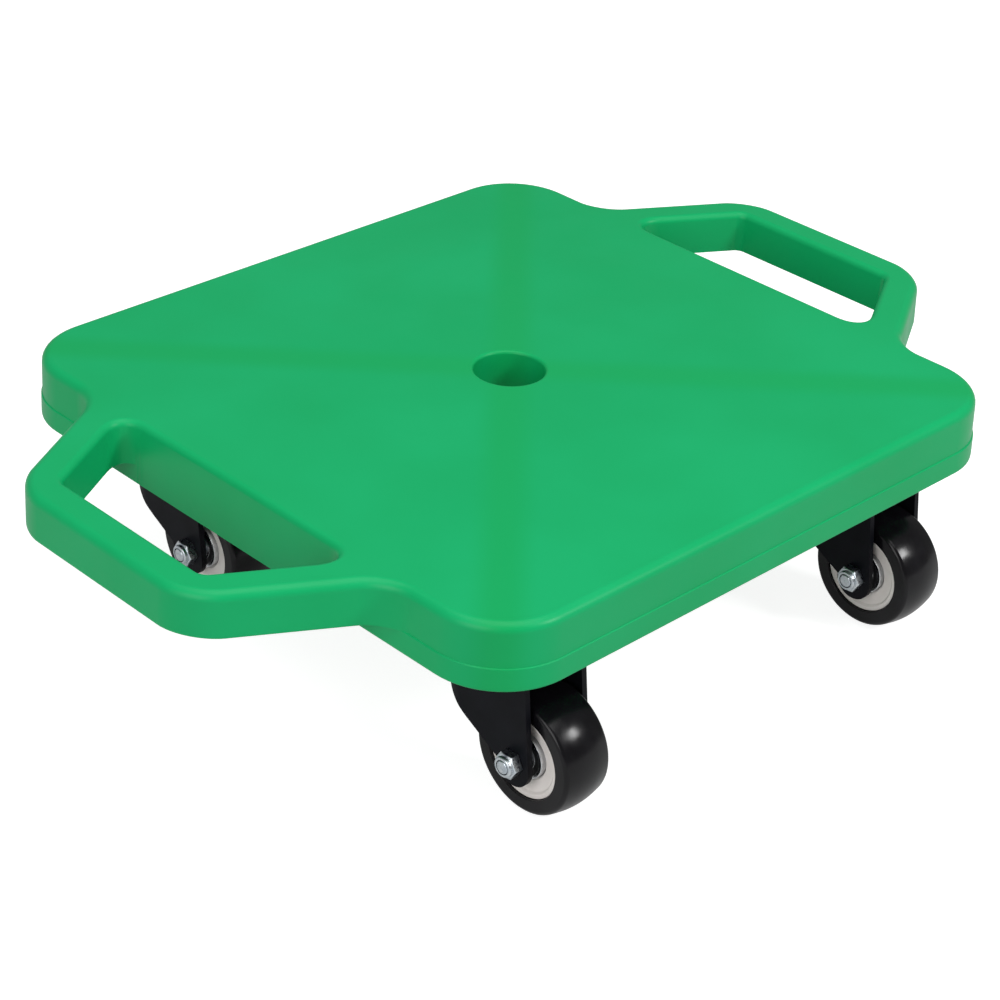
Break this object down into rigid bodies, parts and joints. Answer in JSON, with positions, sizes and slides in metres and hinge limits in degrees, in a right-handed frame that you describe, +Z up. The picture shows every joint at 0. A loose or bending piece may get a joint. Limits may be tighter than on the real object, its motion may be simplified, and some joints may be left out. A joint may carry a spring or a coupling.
{
  "type": "scooter board",
  "caption": "Low square plastic scooter board with rounded corners, trapezoid hand holes on opposite sides, a centre hole and small trailing swivel casters.",
  "frame": {"origin": "on the floor, under the middle of the board's box; the deck's centre is 1.95 mm towards +Y of it, because all four wheels trail towards -Y", "axes": "+X from the left handle to the right handle, +Y towards the rear casters, away from the trailing wheels, +Z up"},
  "size_m": [0.42, 0.2986, 0.1007],
  "materials": {
    "deck_plastic": "satin injection-moulded polypropylene with a fine grain",
    "black_steel": "black powder-coated pressed steel",
    "zinc_steel": "bright zinc plate",
    "ball_steel": "polished, greased",
    "bearing_steel": "ground steel rings with a dark shield",
    "wheel_tread": "glossy moulded polyurethane",
    "wheel_core": "satin moulded nylon, warm light grey"
  },
  "bodies": {
    "deck_body": {"deck": "deck_plastic", "front_left_top_plate": "black_steel", "front_left_kingpin": "zinc_steel", "front_left_screw_1": "zinc_steel", "front_left_screw_2": "zinc_steel", "front_left_screw_3": "zinc_steel", "front_left_screw_4": "zinc_steel", "front_right_top_plate": "black_steel", "front_right_kingpin": "zinc_steel", "front_right_screw_1": "zinc_steel", "front_right_screw_2": "zinc_steel", "front_right_screw_3": "zinc_steel", "front_right_screw_4": "zinc_steel", "rear_left_top_plate": "black_steel", "rear_left_kingpin": "zinc_steel", "rear_left_screw_1": "zinc_steel", "rear_left_screw_2": "zinc_steel", "rear_left_screw_3": "zinc_steel", "rear_left_screw_4": "zinc_steel", "rear_right_top_plate": "black_steel", "rear_right_kingpin": "zinc_steel", "rear_right_screw_1": "zinc_steel", "rear_right_screw_2": "zinc_steel", "rear_right_screw_3": "zinc_steel", "rear_right_screw_4": "zinc_steel"},
    "front_left_ball_ring": {"front_left_swivel_balls": "ball_steel"},
    "front_left_swivel": {"front_left_fork": "black_steel", "front_left_axle_bolt": "zinc_steel", "front_left_axle_nut": "zinc_steel"},
    "front_left_wheel": {"front_left_wheel_tread": "wheel_tread", "front_left_wheel_core": "wheel_core", "front_left_bearing_left": "bearing_steel", "front_left_bearing_right": "bearing_steel"},
    "front_right_ball_ring": {"front_right_swivel_balls": "ball_steel"},
    "front_right_swivel": {"front_right_fork": "black_steel", "front_right_axle_bolt": "zinc_steel", "front_right_axle_nut": "zinc_steel"},
    "front_right_wheel": {"front_right_wheel_tread": "wheel_tread", "front_right_wheel_core": "wheel_core", "front_right_bearing_left": "bearing_steel", "front_right_bearing_right": "bearing_steel"},
    "rear_left_ball_ring": {"rear_left_swivel_balls": "ball_steel"},
    "rear_left_swivel": {"rear_left_fork": "black_steel", "rear_left_axle_bolt": "zinc_steel", "rear_left_axle_nut": "zinc_steel"},
    "rear_left_wheel": {"rear_left_wheel_tread": "wheel_tread", "rear_left_wheel_core": "wheel_core", "rear_left_bearing_left": "bearing_steel", "rear_left_bearing_right": "bearing_steel"},
    "rear_right_ball_ring": {"rear_right_swivel_balls": "ball_steel"},
    "rear_right_swivel": {"rear_right_fork": "black_steel", "rear_right_axle_bolt": "zinc_steel", "rear_right_axle_nut": "zinc_steel"},
    "rear_right_wheel": {"rear_right_wheel_tread": "wheel_tread", "rear_right_wheel_core": "wheel_core", "rear_right_bearing_left": "bearing_steel", "rear_right_bearing_right": "bearing_steel"}
  },
  "joints": [
    {"name": "front_left_swivel_turn", "type": "hinge", "parent": "deck_body", "child": "front_left_swivel", "pos_m": [-0.0995, -0.09505, 0.066], "axis": [0, 0, 1], "continuous": true},
    {"name": "front_left_ball_roll", "type": "hinge", "parent": "deck_body", "child": "front_left_ball_ring", "pos_m": [-0.0995, -0.09505, 0.066], "axis": [0, 0, 1], "continuous": true},
    {"name": "front_left_wheel_spin", "type": "hinge", "parent": "front_left_swivel", "child": "front_left_wheel", "pos_m": [-0.0995, -0.12385, 0.0254], "axis": [1, 0, 0], "continuous": true},
    {"name": "front_right_swivel_turn", "type": "hinge", "parent": "deck_body", "child": "front_right_swivel", "pos_m": [0.0995, -0.09505, 0.066], "axis": [0, 0, 1], "continuous": true},
    {"name": "front_right_ball_roll", "type": "hinge", "parent": "deck_body", "child": "front_right_ball_ring", "pos_m": [0.0995, -0.09505, 0.066], "axis": [0, 0, 1], "continuous": true},
    {"name": "front_right_wheel_spin", "type": "hinge", "parent": "front_right_swivel", "child": "front_right_wheel", "pos_m": [0.0995, -0.12385, 0.0254], "axis": [1, 0, 0], "continuous": true},
    {"name": "rear_left_swivel_turn", "type": "hinge", "parent": "deck_body", "child": "rear_left_swivel", "pos_m": [-0.0995, 0.09895, 0.066], "axis": [0, 0, 1], "continuous": true},
    {"name": "rear_left_ball_roll", "type": "hinge", "parent": "deck_body", "child": "rear_left_ball_ring", "pos_m": [-0.0995, 0.09895, 0.066], "axis": [0, 0, 1], "continuous": true},
    {"name": "rear_left_wheel_spin", "type": "hinge", "parent": "rear_left_swivel", "child": "rear_left_wheel", "pos_m": [-0.0995, 0.07015, 0.0254], "axis": [1, 0, 0], "continuous": true},
    {"name": "rear_right_swivel_turn", "type": "hinge", "parent": "deck_body", "child": "rear_right_swivel", "pos_m": [0.0995, 0.09895, 0.066], "axis": [0, 0, 1], "continuous": true},
    {"name": "rear_right_ball_roll", "type": "hinge", "parent": "deck_body", "child": "rear_right_ball_ring", "pos_m": [0.0995, 0.09895, 0.066], "axis": [0, 0, 1], "continuous": true},
    {"name": "rear_right_wheel_spin", "type": "hinge", "parent": "rear_right_swivel", "child": "rear_right_wheel", "pos_m": [0.0995, 0.07015, 0.0254], "axis": [1, 0, 0], "continuous": true}
  ],
  "couplings": [
    {"joint": "front_left_ball_roll", "follows": "front_left_swivel_turn", "ratio": 0.5},
    {"joint": "front_right_ball_roll", "follows": "front_right_swivel_turn", "ratio": 0.5},
    {"joint": "rear_left_ball_roll", "follows": "rear_left_swivel_turn", "ratio": 0.5},
    {"joint": "rear_right_ball_roll", "follows": "rear_right_swivel_turn", "ratio": 0.5}
  ]
}
